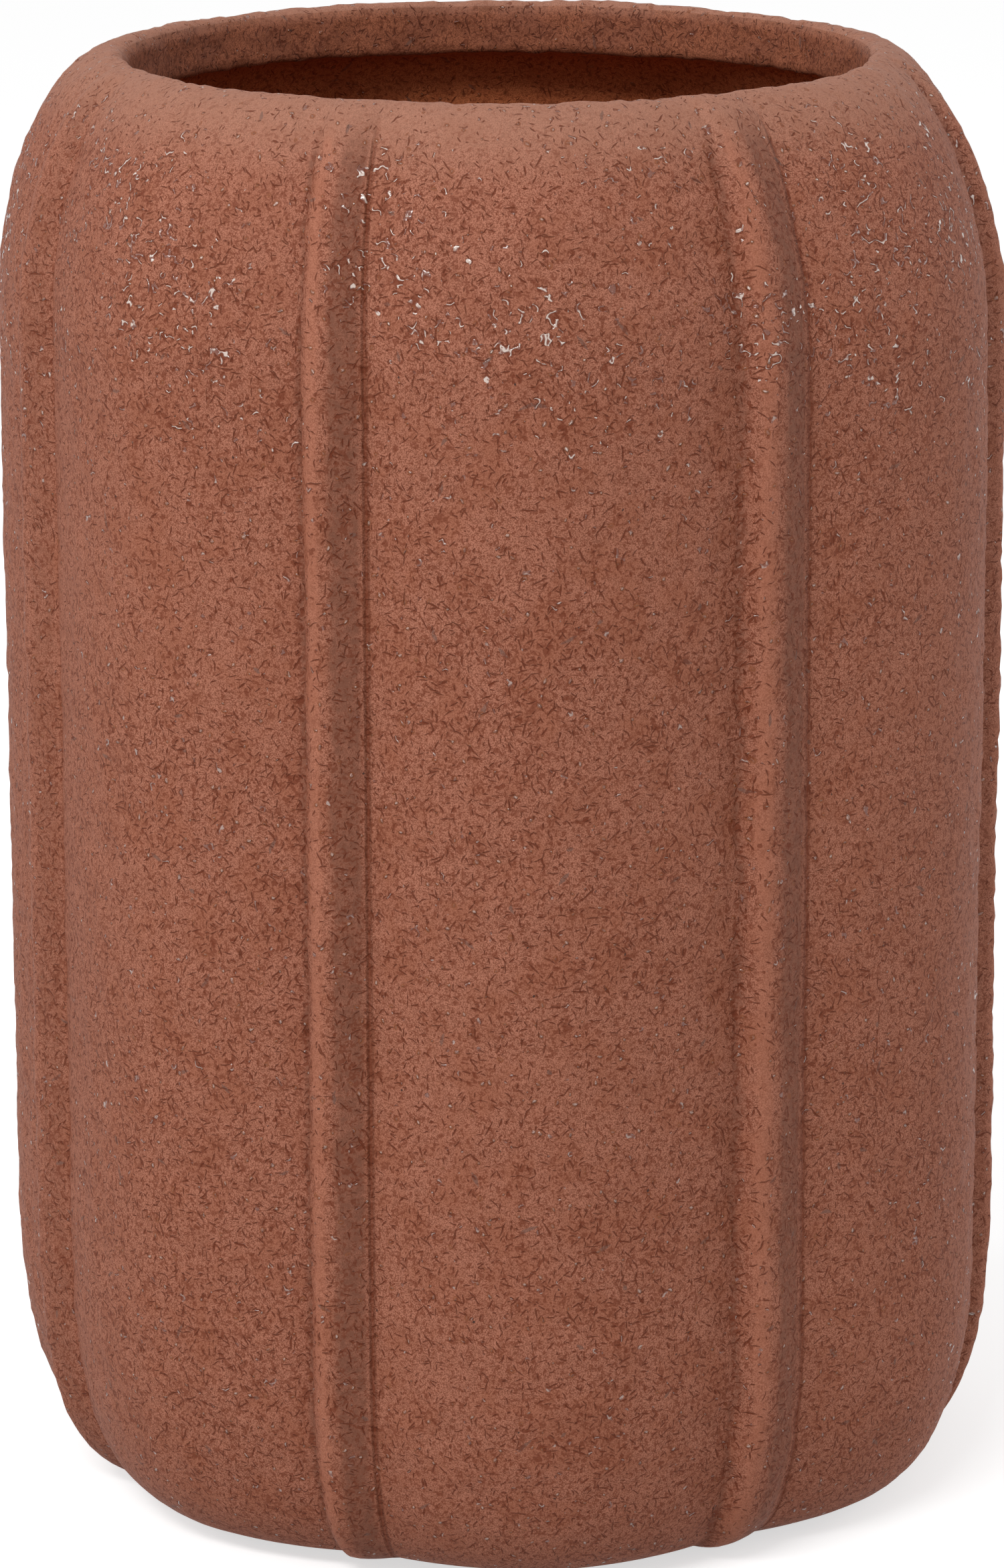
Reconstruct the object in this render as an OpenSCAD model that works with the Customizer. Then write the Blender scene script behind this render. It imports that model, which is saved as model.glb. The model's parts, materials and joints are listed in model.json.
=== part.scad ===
// Ribbed stoneware planter: a tall round pot with a wide mouth, a rounded shoulder and a
// rounded foot. Its wall is a ring of domed panels, and between each two stands a narrow rib.
// Units are millimetres and +Z is up. The origin is the centre of the footprint, on the ground.

/* [Pot] */
// Radius at the crown of a panel
body_r = 105; // [90:1:125]
// Height of the fired pot, without its pads
pot_h = 298; // [240:1:360]
// Thickness of the fired wall
wall = 7; // [5:0.5:9]
// Thickness of the floor over the foot ring
floor_t = 9; // [7:0.5:14]

/* [Panels and ribs] */
// Number of panels, and of the ribs between them
rib_count = 7; // [5:1:9]
// Depth of the crease beside a rib, below the crown of a panel
crease_depth = 6; // [2:0.5:8]
// Height of a rib above the creases beside it
rib_height = 4.2; // [1:0.1:6]
// Width of a rib, from crease to crease
rib_w = 15; // [8:0.5:20]

/* [Shoulder and mouth] */
// Height over which the wall curves in to the rim
shoulder_h = 52; // [40:1:70]
// Inside radius of the neck
mouth_r = 76; // [60:1:80]
// Height of the neck's inside face, from the rim down to the undercut
neck_h = 11; // [8:0.5:16]
// Rounding of the rim's inner edge
lip_r = 3; // [2:0.25:4]
// Width of the ledge under the neck, where the inside widens
ledge_w = 3; // [1:0.5:5]
// Width of the flat on top of the rim
rim_flat = 0.5; // [0.25:0.25:2]

/* [Foot] */
// Height over which the wall curves in to the foot
foot_h = 55; // [35:1:70]
// Radius of the flat foot, at the crown of a panel
foot_r = 80; // [74:1:86]
// Radius of the hollow under the foot
hollow_r = 50; // [30:1:52]
// Depth of the hollow under the foot
hollow_depth = 2.5; // [1:0.5:4]

/* [Drain plug] */
// Radius of the drain hole
drain_r = 9; // [6:0.5:12]
// Gap between the plug's stem and the drain hole
plug_gap = 0.3; // [0.2:0.1:0.6]
// Width of the plug's flange beyond the drain hole
flange_w = 6; // [4:0.5:10]
// Thickness of the plug's flange
flange_t = 3; // [2:0.5:5]
// Height of the plug's grip above its flange
grip_h = 9; // [6:0.5:14]
// Radius of the head on the plug's grip
grip_r = 5.5; // [4:0.5:8]
// Thickness of the head on the plug's grip
head_t = 3.5; // [2:0.5:4]
// Radius of the waist below the head
waist_r = 3.8; // [2.5:0.1:4]
// Length of the stem below the drain hole
stem_out = 1; // [0:0.25:1.5]

/* [Foot pads] */
// Radius of a pad
pad_r = 8; // [5:0.5:10]
// Thickness of a pad
pad_t = 2; // [1:0.5:4]

/* [Hidden] */
$fn = 96;

// Curvature of the corners: 2 is an ellipse, more is squarer
foot_square = 2.45;
shoulder_square = 1.95;
cavity_square = 2.6;

// Pads under the foot, each a piece of its own, midway between the hollow and the foot's creases
pad_count = 4;
pad_ring_r = (hollow_r + foot_r - crease_depth) / 2;
first_pad = 45;

// Small bevel on the plug's edges
plug_bevel = 1;

// Mesh steps: rings on each curved stretch, and columns over one rib and one panel
foot_rings = 10;
shoulder_rings = 12;
cavity_rings = 7;
rib_steps = 6;
panel_steps = 8;
cavity_rib_steps = 2;
cavity_steps = 6;
lip_steps = 5;

// Heights above the ground
base_z = pad_t;
rim_z = base_z + pot_h;
shoulder_z = rim_z - shoulder_h;
ledge_z = rim_z - neck_h;
floor_z = base_z + floor_t;
hollow_z = base_z + hollow_depth;

// Radii of the rim's top and of the inside
rim_r = mouth_r + lip_r + rim_flat;
cavity_r = body_r - wall;
cavity_floor_r = foot_r - wall;

// One rib with its panel takes this angle, and a rib alone half of its own on each side
pitch = 360 / rib_count;
half_rib = asin(rib_w / 2 / body_r);
// A rib stands at the back, so that a panel faces the front
first_rib = 90;

// Shape of the relief
panel_power = 1.53;
rib_power = 3;
fade_power = 0.4;

// How far a cutter passes what it cuts, and how far the rim's rounding is lifted to end at an edge
cut = 1;
lip_lift = 0.1;
// How far a flat end reaches into the bore that cuts it, and how deep its middle is dimpled
end_overlap = 1;
end_dimple = 0.5;

plum = [0.52, 0.27, 0.20];
black = [0.10, 0.10, 0.11];
grey = [0.35, 0.34, 0.33];

// Share of a full step along a rounded corner, 0 to 1
function corner(turn, square) = pow(turn, 2 / square);

// Sag of a panel at an angle from the nearest rib's middle: 1 at the crease, 0 at its crown
function sag(off) =
    let (across = max(0, (off - half_rib) / (pitch / 2 - half_rib)))
    pow(1 - min(1, across), panel_power);

// Rise of a rib at that angle: 1 on its crest, 0 from the crease on
function rise(off) = off >= half_rib ? 0 : 1 - pow(off / half_rib, rib_power);

// How far an angle is from the middle of the nearest rib
function from_rib(a) = let (turn = a - pitch * round(a / pitch)) abs(turn);

// How much of the relief is left at a height: none at the form's top, all below the shoulder
function relief(z, top) =
    z <= shoulder_z ? 1 : pow(sin(90 * max(0, top - z) / (top - shoulder_z)), fade_power);

// Point of a form of plain radius r at height z, angle a from a rib. ribs is 1 with ribs, else 0
function wall_point(r, z, top, a, ribs) =
    let (
        off = from_rib(a),
        inward = crease_depth * sag(off) - ribs * rib_height * rise(off),
        radius = r - relief(z, top) * inward,
        turn = a + first_rib
    )
    [radius * cos(turn), radius * sin(turn), z];

// Angles of the columns, from one rib to the next all the way round
function columns(over_rib, over_panel) = [
    for (k = [0 : rib_count - 1])
        for (i = [0 : over_rib + over_panel - 1])
            k * pitch + (i < over_rib
                ? half_rib * (2 * i / over_rib - 1)
                : half_rib + (pitch - 2 * half_rib) * (i - over_rib) / over_panel)
];

// [radius, height] of each ring, from a flat bottom round both corners to a flat top
function rings(low, high, low_square, high_square, low_steps, high_steps) = concat(
    [for (i = [0 : low_steps]) let (a = 90 * i / low_steps) [
        low[0][0] + (low[1][0] - low[0][0]) * corner(sin(a), low_square),
        low[0][1] + (low[1][1] - low[0][1]) * (1 - corner(cos(a), low_square))
    ]],
    [for (i = [0 : high_steps]) let (a = 90 * i / high_steps) [
        high[1][0] + (high[0][0] - high[1][0]) * corner(cos(a), high_square),
        high[0][1] + (high[1][1] - high[0][1]) * corner(sin(a), high_square)
    ]]
);

// A closed form through the rings. Its flat ends reach in to low_r and high_r. Within these a
// bore takes them away, so there they only run to a point
module lofted(outline, low_r, high_r, angles, ribs) {
    low_z = outline[0][1];
    high_z = outline[len(outline) - 1][1];
    all_rings = concat([[low_r, low_z]], outline, [[high_r, high_z]]);
    n = len(angles);
    m = len(all_rings);
    points = concat(
        [for (p = all_rings) for (a = angles) wall_point(p[0], p[1], high_z, a, ribs)],
        [[0, 0, low_z + end_dimple], [0, 0, high_z - end_dimple]]
    );
    sides = [for (j = [0 : m - 2]) for (i = [0 : n - 1])
        let (k = (i + 1) % n, a = j * n + i, b = j * n + k, c = a + n, d = b + n)
        each [[a, c, b], [b, c, d]]];
    bottom = [for (i = [0 : n - 1]) [i, (i + 1) % n, m * n]];
    top = [for (i = [0 : n - 1]) let (a = (m - 1) * n) [a + (i + 1) % n, a + i, m * n + 1]];
    polyhedron(points = points, faces = concat(bottom, top, sides));
}

// The pot's outside: foot, ribbed wall and shoulder
module outside() {
    lofted(
        rings([[foot_r, base_z], [body_r, base_z + foot_h]], [[body_r, shoulder_z], [rim_r, rim_z]],
            foot_square, shoulder_square, foot_rings, shoulder_rings),
        hollow_r - end_overlap, mouth_r, columns(rib_steps, panel_steps), 1);
}

// The pot's inside below the neck: it follows the panels at the thickness of the wall
module cavity() {
    lofted(
        rings([[cavity_floor_r, floor_z], [cavity_r, base_z + foot_h]],
            [[cavity_r, shoulder_z], [mouth_r + ledge_w, ledge_z]],
            foot_square, cavity_square, cavity_rings, cavity_rings),
        drain_r - end_overlap, mouth_r - end_overlap, columns(cavity_rib_steps, cavity_steps), 0);
}

// The round neck, flared at its top by the rounding of the rim
module neck_bore() {
    rotate_extrude() polygon(concat(
        [[0, ledge_z - cut], [mouth_r, ledge_z - cut]],
        [for (i = [0 : lip_steps]) let (a = 90 * i / lip_steps)
            [mouth_r + lip_r * (1 - cos(a)), rim_z + lip_lift - lip_r * (1 - sin(a))]],
        [[mouth_r + lip_r, rim_z + cut], [0, rim_z + cut]]
    ));
}

// The hollow under the foot, and the drain hole in its middle
module under_bore() {
    rotate_extrude() polygon([
        [0, base_z - cut], [hollow_r, base_z - cut], [hollow_r, hollow_z], [drain_r, hollow_z],
        [drain_r, floor_z + cut], [0, floor_z + cut]
    ]);
}

module pot_body() {
    color(plum)
    difference() {
        outside();
        cavity();
        neck_bore();
        under_bore();
    }
}

// A rubber bung: its flange lies on the floor, its stem fills the drain hole
module drain_plug() {
    flange_r = drain_r + flange_w;
    stem_r = drain_r - plug_gap;
    tip_z = hollow_z - stem_out;
    flange_top = floor_z + flange_t;
    grip_top = flange_top + grip_h;
    head_z = grip_top - head_t;
    color(black)
    rotate_extrude() polygon([
        [0, tip_z], [stem_r - plug_bevel, tip_z], [stem_r, tip_z + plug_bevel], [stem_r, floor_z],
        [flange_r, floor_z], [flange_r, flange_top - plug_bevel],
        [flange_r - plug_bevel, flange_top], [waist_r, flange_top],
        [waist_r, head_z - (grip_r - waist_r)], [grip_r, head_z],
        [grip_r, grip_top - plug_bevel], [grip_r - plug_bevel, grip_top], [0, grip_top]
    ]);
}

// A thin round pad under the foot ring, number i of pad_count
module foot_pad(i) {
    bevel = pad_t / 4;
    color(grey)
    rotate([0, 0, first_pad + 360 / pad_count * (i - 1)])
    translate([pad_ring_r, 0, 0])
    rotate_extrude() polygon([
        [0, 0], [pad_r - bevel, 0], [pad_r, bevel], [pad_r, pad_t], [0, pad_t]
    ]);
}

pot_body();
drain_plug();
foot_pad(1);  // foot_pad_1
foot_pad(2);  // foot_pad_2
foot_pad(3);  // foot_pad_3
foot_pad(4);  // foot_pad_4
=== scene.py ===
"""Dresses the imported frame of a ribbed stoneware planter: its shell, drain bung and foot pads.

Lengths are metres and angles are radians unless a name says otherwise. The axes are the
frame's own: +Z up, the front at -Y, the ground at z = 0.
"""

import json
import logging
import math
from dataclasses import dataclass, field
from enum import Enum
from typing import Callable, Sequence, Union

import bpy
import numpy as np
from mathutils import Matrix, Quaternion, Vector
from mathutils.kdtree import KDTree


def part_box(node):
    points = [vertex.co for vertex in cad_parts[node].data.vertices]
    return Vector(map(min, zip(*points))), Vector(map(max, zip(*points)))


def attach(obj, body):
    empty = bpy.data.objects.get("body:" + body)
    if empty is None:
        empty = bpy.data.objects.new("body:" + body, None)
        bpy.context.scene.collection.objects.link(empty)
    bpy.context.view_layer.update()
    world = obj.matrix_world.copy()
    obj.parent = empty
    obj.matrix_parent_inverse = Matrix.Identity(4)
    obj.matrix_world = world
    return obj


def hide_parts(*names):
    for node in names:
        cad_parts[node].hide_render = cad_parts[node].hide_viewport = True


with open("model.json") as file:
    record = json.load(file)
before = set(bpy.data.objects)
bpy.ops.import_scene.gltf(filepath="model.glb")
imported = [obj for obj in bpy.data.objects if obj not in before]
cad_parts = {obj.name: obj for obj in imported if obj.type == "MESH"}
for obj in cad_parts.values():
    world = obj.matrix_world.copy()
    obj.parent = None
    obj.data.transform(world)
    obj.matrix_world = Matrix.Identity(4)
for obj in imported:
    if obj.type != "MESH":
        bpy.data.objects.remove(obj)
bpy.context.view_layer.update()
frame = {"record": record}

MM = 0.001
WELD = 0.02 * MM
WHITE = (1.0, 1.0, 1.0, 1.0)
SURFACE_MAP = "surface"
ACROSS_RIB = "across_rib"
NEAR_RIB = "near_rib"

log = logging.getLogger("planter")

Colour = tuple[float, float, float]
Point = tuple[float, float]


# ---------------------------------------------------------------- shader maths


class Wire:
    """An output socket of a shader node that Python expressions can be made of."""

    def __init__(self, graph: "Graph", socket: bpy.types.NodeSocket) -> None:
        """Keeps the socket and the graph that new nodes go into."""
        self.graph = graph
        self.socket = socket

    def other(self, name: str) -> "Wire":
        """Another output of the same node."""
        return Wire(self.graph, self.socket.node.outputs[name])

    def __add__(self, value: "Value") -> "Wire":
        """Sum."""
        return self.graph.math("ADD", self, value)

    def __sub__(self, value: "Value") -> "Wire":
        """Difference."""
        return self.graph.math("SUBTRACT", self, value)

    def __rsub__(self, value: "Value") -> "Wire":
        """Difference, with the plain number first."""
        return self.graph.math("SUBTRACT", value, self)

    def __mul__(self, value: "Value") -> "Wire":
        """Product."""
        return self.graph.math("MULTIPLY", self, value)

    def __truediv__(self, value: "Value") -> "Wire":
        """Quotient."""
        return self.graph.math("DIVIDE", self, value)

    def __lt__(self, value: "Value") -> "Wire":
        """1 where this is less, else 0."""
        return self.graph.math("LESS_THAN", self, value)

    def __abs__(self) -> "Wire":
        """Absolute value."""
        return self.graph.math("ABSOLUTE", self)


Value = Union[Wire, float]


class Graph:
    """The node tree of one material or world, written as expressions."""

    def __init__(self, tree: bpy.types.NodeTree) -> None:
        """Empties the tree."""
        self.tree = tree
        tree.nodes.clear()

    def add(self, kind: str, settings: dict, inputs: dict) -> bpy.types.Node:
        """Adds one node.

        Args:
            kind: The node's type.
            settings: Its properties, set first.
            inputs: Values or wires for its sockets, by name or number.

        Returns:
            The node.
        """
        node = self.tree.nodes.new(kind)
        for name, value in settings.items():
            setattr(node, name, value)
        for key, value in inputs.items():
            if isinstance(value, Wire):
                self.tree.links.new(value.socket, node.inputs[key])
            else:
                node.inputs[key].default_value = value
        return node

    def node(self, kind: str, settings: dict, inputs: dict, output: Union[str, int] = 0) -> Wire:
        """Adds one node and returns an output of it, the first one unless another is named."""
        return Wire(self, self.add(kind, settings, inputs).outputs[output])

    def math(self, operation: str, *values: Value, clamp: bool = False) -> Wire:
        """One Math node."""
        settings = {"operation": operation, "use_clamp": clamp}
        return self.node("ShaderNodeMath", settings, dict(enumerate(values)))

    def most(self, first: Value, *rest: Value) -> Wire:
        """The greatest of some values."""
        for value in rest:
            first = self.math("MAXIMUM", first, value)
        return first

    def clamp(self, value: Value) -> Wire:
        """The value, held between 0 and 1."""
        return self.math("ADD", value, 0.0, clamp=True)

    def ease(self, value: Wire, low: float, high: float, to: Point = (0.0, 1.0)) -> Wire:
        """A smooth step from to[0] at low to to[1] at high."""
        inputs = {"Value": value, "From Min": low, "From Max": high, "To Min": to[0], "To Max": to[1]}
        return self.node("ShaderNodeMapRange", {"interpolation_type": "SMOOTHSTEP"}, inputs)

    def band(self, value: Wire, middle: float, reach: float, core: float = 0.0) -> Wire:
        """1 where the value is within core of the middle, and 0 from reach of it on."""
        return self.ease(abs(value - middle), reach, core)

    def vector(self, operation: str, *values: Union[Wire, tuple]) -> Wire:
        """One Vector Math node."""
        return self.node("ShaderNodeVectorMath", {"operation": operation}, dict(enumerate(values)))

    def split(self, vector: Wire) -> tuple[Wire, Wire, Wire]:
        """The three parts of a vector."""
        x = self.node("ShaderNodeSeparateXYZ", {}, {"Vector": vector})
        return x, x.other("Y"), x.other("Z")

    def parts(self, colour: Wire) -> tuple[Wire, Wire, Wire]:
        """The three parts of a colour."""
        red = self.node("ShaderNodeSeparateColor", {}, {"Color": colour})
        return red, red.other("Green"), red.other("Blue")

    def mix(self, factor: Value, a: Union[Wire, Colour], b: Union[Wire, Colour]) -> Wire:
        """One colour Mix node, from a at a factor of 0 to b at 1."""
        a, b = ((*c, 1.0) if isinstance(c, tuple) else c for c in (a, b))
        return self.node("ShaderNodeMix", {"data_type": "RGBA"}, {0: factor, 6: a, 7: b}, 2)

    def noise(self, place: Wire, size: float, detail: float = 2.0, rough: float = 0.5,
              output: str = "Fac") -> Wire:
        """Soft noise whose lumps are about size across, from 0 to 1."""
        inputs = {"Vector": place, "Scale": 1 / size, "Detail": detail, "Roughness": rough}
        return self.node("ShaderNodeTexNoise", {}, inputs, output)

    def bump(self, height: Wire, depth: float) -> Wire:
        """A normal that stands up by depth, in metres, where height is 1."""
        inputs = {"Height": height, "Distance": depth, "Strength": 1.0}
        return self.node("ShaderNodeBump", {}, inputs)


def new_material(name: str) -> tuple[bpy.types.Material, Graph]:
    """An empty material and the graph to write it with."""
    material = bpy.data.materials.new(name)
    material.use_nodes = True
    return material, Graph(material.node_tree)


# ---------------------------------------------------------------- finishes


@dataclass(frozen=True)
class Marks:
    """A layer of short thin marks that lie every way, at most one in each cell of a pattern.

    The cells are about spacing across, and a share of them holds a mark. A mark reaches so far
    from its middle, has half the breadth on each side and is bowed up to bow times that.
    """

    spacing: float
    reach: float
    breadth: float
    share: float
    bow: float = 0.0

    SHORTEST = 0.3
    FAINTEST = 0.5
    BOW_LOT = 7.31
    STRENGTH_LOT = 5.3

    def draw(self, g: Graph, place: Wire, crowd: Value = 1.0) -> Wire:
        """Draws the layer.

        Args:
            g: Graph to draw in.
            place: Where on the surface, in metres.
            crowd: How crowded the marks are there, 1 being the layer's own share.

        Returns:
            0 off the marks, rising to 1 along the middle of each.
        """
        cells = {"Vector": place, "Scale": 1 / self.spacing, "Randomness": 0.95}
        centre = g.node("ShaderNodeTexVoronoi", {"voronoi_dimensions": "2D"}, cells, "Position")
        lots = g.parts(centre.other("Color"))
        turning = {"Vector": g.vector("SUBTRACT", place, centre), "Angle": lots[0] * (2 * math.pi)}
        turned = g.node("ShaderNodeVectorRotate", {"rotation_type": "Z_AXIS"}, turning)
        along, across, _ = g.split(turned)
        along = along / (lots[1] * (self.reach * (1 - self.SHORTEST)) + self.reach * self.SHORTEST)
        bowed = (g.math("FRACT", lots[1] * self.BOW_LOT) - 0.5) * self.bow
        along_squared = along * along
        across = abs(across / self.breadth + along_squared * bowed)
        here = lots[2] < crowd * self.share
        strength = g.math("FRACT", lots[0] * self.STRENGTH_LOT) * (1 - self.FAINTEST) + self.FAINTEST
        return g.clamp((1 - along_squared - across) * here) * strength


class Ground:
    """The surface under a slip: where each point lies, soft noises, and the lie of ribs and rim."""

    BROAD = 45 * MM
    MIDDLE = 9 * MM
    FINE = 1.9 * MM
    GRAIN = 0.25 * MM
    WAVER = 2.2 * MM
    WAVER_BY = 0.9 * MM

    def __init__(self, g: Graph, worn_from: float, worn_to: float) -> None:
        """Reads the places on the surface and draws its noises.

        Args:
            g: Graph to draw in.
            worn_from: Height where the wear and painted sheen of the rim begin.
            worn_to: Height where it is full.
        """
        self.solid = g.node("ShaderNodeTexCoord", {}, {}, "Object")
        self.height = g.split(self.solid)[2]
        self.broad = g.noise(self.solid, self.BROAD, 2.0, 0.55)
        self.middle = g.noise(self.solid, self.MIDDLE, 3.0, 0.6)
        self.fine = g.noise(self.solid, self.FINE, 2.0, 0.6)
        self.grain = g.noise(self.solid, self.GRAIN, 1.0, 0.6)
        self.rim_wear_and_sheen = g.ease(self.height, worn_from, worn_to)
        self.flat = self.wavered_map(g)

        across = g.node("ShaderNodeAttribute", {"attribute_name": ACROSS_RIB}, {}, "Fac")
        near = g.node("ShaderNodeAttribute", {"attribute_name": NEAR_RIB}, {}, "Fac")
        wander = across + (self.middle - 0.5) * 0.5
        self.left_crease = g.band(wander, -1.05, 0.22) * near
        self.right_crease = g.band(across, 1.02, 0.13) * near
        self.crease = g.most(self.left_crease, self.right_crease)
        self.left_edge = g.band(wander, -0.5, 0.35, 0.05) * near
        # right_flank is where painted shade goes, on the side of a rib turned away from the key lamp.
        self.right_flank = g.ease(wander, -0.15, 0.15) * g.ease(across, 0.98, 0.7) * near

    def wavered_map(self, g: Graph) -> Wire:
        """The flat map of the surface, shifted to and fro a little so that marks aren't straight."""
        flat = g.node("ShaderNodeUVMap", {"uv_map": SURFACE_MAP}, {})
        noise = g.noise(self.solid, self.WAVER, 1.0, output="Color")
        shift = {0: g.vector("SUBTRACT", noise, (0.5, 0.5, 0.5)), "Scale": self.WAVER_BY}
        return g.vector("ADD", flat, g.node("ShaderNodeVectorMath", {"operation": "SCALE"}, shift))


@dataclass(frozen=True)
class Scores:
    """What is in a slip, each from 0 off it to 1 on it."""

    needles: Wire
    threads: Wire
    flakes: Wire
    holes: Wire
    pits: Wire
    stains: Wire
    beads: Wire
    rust: Wire
    drops: Wire
    # Where pale painted highlights go on the curls and drops.
    painted_highlights: Wire


@dataclass(frozen=True)
class Slip:
    """Thick red-brown slip, sanded with grain, scored with needle marks and glossy in curls, with painted
    highlights, sheen and shade.

    light and deep are the grain's colours, mark is that of the marks in it, and bleed that of
    its clouds. crowd is how many marks it has, and wet how many glossy curls.
    """

    name: str
    light: Colour
    deep: Colour
    mark: Colour
    bleed: Colour
    # Rim colour: partly wear, partly painted sheen where light falls on the shoulder and rim.
    rubbed_and_sheen: Colour = (0.37, 0.19, 0.13)
    # Painted shade: a darker colour on a rib's right flank, turned away from the key lamp, and in its left
    # crease.
    painted_rib_shade: Colour = (0.165, 0.061, 0.036)
    # A rib's left edge is lighter: partly thinner slip on the raised edge, partly painted light on the side
    # facing the key lamp.
    bare: Colour = (0.40, 0.145, 0.085)
    chip: Colour = (0.13, 0.075, 0.06)
    rust: Colour = (0.21, 0.062, 0.022)
    # Painted shade: pinholes are near-black dots in the colour, with no hollow in the surface.
    hole: Colour = (0.03, 0.017, 0.014)
    # Painted highlight: the pale colour of glints on the curls and drops.
    painted_highlight: Colour = (0.66, 0.55, 0.48)
    crowd: float = 1.0
    wet: float = 1.0
    rough: float = 0.8
    gloss_rough: float = 0.16
    relief: float = 0.18 * MM
    worn_from: float = 283 * MM
    worn_to: float = 301 * MM
    wet_from: float = 215 * MM
    wet_to: float = 262 * MM

    NEEDLES = (
        Marks(2.1 * MM, 1.2 * MM, 0.20 * MM, 0.70, 1.2),
        Marks(2.9 * MM, 1.5 * MM, 0.20 * MM, 0.60, 1.6),
        Marks(4.8 * MM, 2.1 * MM, 0.26 * MM, 0.50, 2.4),
    )
    THREADS = (1.7 * MM, 1.1 * MM)
    FLAKES = Marks(15.0 * MM, 2.4 * MM, 0.50 * MM, 0.40, 0.9)
    DROPS = Marks(5.0 * MM, 0.95 * MM, 0.70 * MM, 0.60)
    HOLES = Marks(21.0 * MM, 0.36 * MM, 0.34 * MM, 0.40)
    CURL = 2.7 * MM
    PUDDLE = 2.2 * MM
    DAMP_PATCH = 22 * MM

    @staticmethod
    def thread(g: Graph, solid: Wire, size: float, crowd: Wire) -> Wire:
        """Short curled threads about half of size long, from 0 off them to 1."""
        line = g.band(g.noise(solid, size, 1.0), 0.5, 0.085, 0.02)
        piece = g.noise(g.vector("ADD", solid, (0.31, 0.17, 0.05 + size)), size * 0.8, 1.0)
        return line * g.ease(piece + crowd * 0.07, 0.57, 0.64)

    def score(self, g: Graph, on: Ground) -> Scores:
        """Draws the marks, which are sparser near the rim and on ribs and denser in creases."""
        crowd = g.ease(on.middle * 0.5 + on.broad * 0.5, 0.40, 0.60, (0.55, 1.2)) * self.crowd
        crowd = (crowd + on.crease * 0.7) * (1 - on.left_edge * 0.5) * (1 - on.rim_wear_and_sheen * 0.7)
        needles = g.most(*(marks.draw(g, on.flat, crowd) for marks in self.NEEDLES))
        threads = g.most(*(self.thread(g, on.solid, size, crowd) for size in self.THREADS))
        pitted = on.fine * 0.75 + on.middle * 0.25 + on.crease * 0.05 - on.rim_wear_and_sheen * 0.08

        patches = g.ease(g.noise(on.solid, self.DAMP_PATCH, 1.0), 0.42, 0.60)
        damp = patches * g.ease(on.height, self.wet_from, self.wet_to) * (1 - on.rim_wear_and_sheen) * self.wet
        puddles = g.noise(g.vector("ADD", on.solid, (0.07, 0.23, 0.41)), self.PUDDLE, 1.0)
        run = g.ease(puddles + damp * 0.14, 0.686, 0.705)
        curl = g.noise(on.solid, self.CURL, 1.0)
        drop = self.DROPS.draw(g, on.flat)
        # Painted highlights: pale cores along some curls and on the drops, put into the colour.
        painted_highlights = g.band(curl, 0.5, 0.022, 0.009) * run * g.ease(on.fine + on.middle, 0.94, 1.06)
        painted_highlights = g.most(painted_highlights, g.ease(drop, 0.72, 0.84))
        return Scores(
            needles=g.ease(needles * (on.grain * 2.6 - 0.3), 0.05, 0.5),
            threads=threads * (1 - on.rim_wear_and_sheen * 0.6) * (1 - on.left_edge * 0.6),
            flakes=g.ease(self.FLAKES.draw(g, on.flat), 0.02, 0.3),
            holes=g.ease(self.HOLES.draw(g, on.flat), 0.0, 0.3),
            pits=g.ease(pitted, 0.60, 0.66),
            stains=g.band(curl, 0.5, 0.105, 0.06) * run,
            beads=g.band(curl, 0.5, 0.052) * run,
            rust=g.ease(drop, 0.0, 0.25),
            drops=g.ease(drop, 0.3, 0.7),
            painted_highlights=painted_highlights * g.ease(damp, 0.0, 0.5, (0.35, 0.85)) * self.wet,
        )

    def colour(self, g: Graph, on: Ground, marks: Scores) -> Wire:
        """Lays the colours on each other, from the grain up to the painted highlights on the curls and
        drops.
        """
        grain = g.ease(on.grain * 0.85 + on.fine * 0.15, 0.37, 0.62)
        colour = g.mix(grain, self.deep, self.light)
        layers = (
            (g.ease(on.middle, 0.42, 0.66, (0.0, 0.5)), self.bleed),
            # The rim painted paler: partly wear, partly painted sheen.
            (on.rim_wear_and_sheen * 0.5, self.rubbed_and_sheen),
            # Painted shade on a rib's right flank.
            (on.right_flank * g.ease(on.fine, 0.3, 0.65, (0.85, 0.5)), self.painted_rib_shade),
            # Lighter left edge of a rib: thinner slip and painted light.
            (g.ease(on.left_edge * (on.fine + 0.4), 0.2, 0.7, (0.0, 0.35)), self.bare),
            # Painted shade in a rib's left crease.
            (on.left_crease * g.ease(on.fine, 0.35, 0.65, (0.75, 0.4)), self.painted_rib_shade),
            # The right crease is darker: partly slip gathered in it, partly painted shade.
            (on.right_crease * 0.55, self.mark),
            (g.most(marks.pits * 0.7, marks.stains * 0.7), self.mark),
            (marks.flakes * 0.6, self.chip),
            (marks.rust * 0.7, self.rust),
            (marks.threads * 0.62, self.mark),
            (marks.needles * 0.85, self.mark),
            # Pinholes painted near black as their shade.
            (marks.holes * 0.85, self.hole),
            # Painted highlights on the curls and drops.
            (marks.painted_highlights, self.painted_highlight),
        )
        for share, coat in layers:
            colour = g.mix(share, colour, coat)
        return colour

    def normal(self, g: Graph, on: Ground, marks: Scores) -> Wire:
        """Raises the grain, beads and drops, and sinks the marks and the sharp right crease."""
        grainy = on.grain * 0.35 + on.fine * 1.3 - marks.needles * 0.9 - marks.pits * 0.5
        raised = grainy * (1 - marks.stains) + marks.beads * 0.6 + marks.drops * 0.9
        return g.bump(raised - on.right_crease * 3.0, self.relief)

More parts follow.
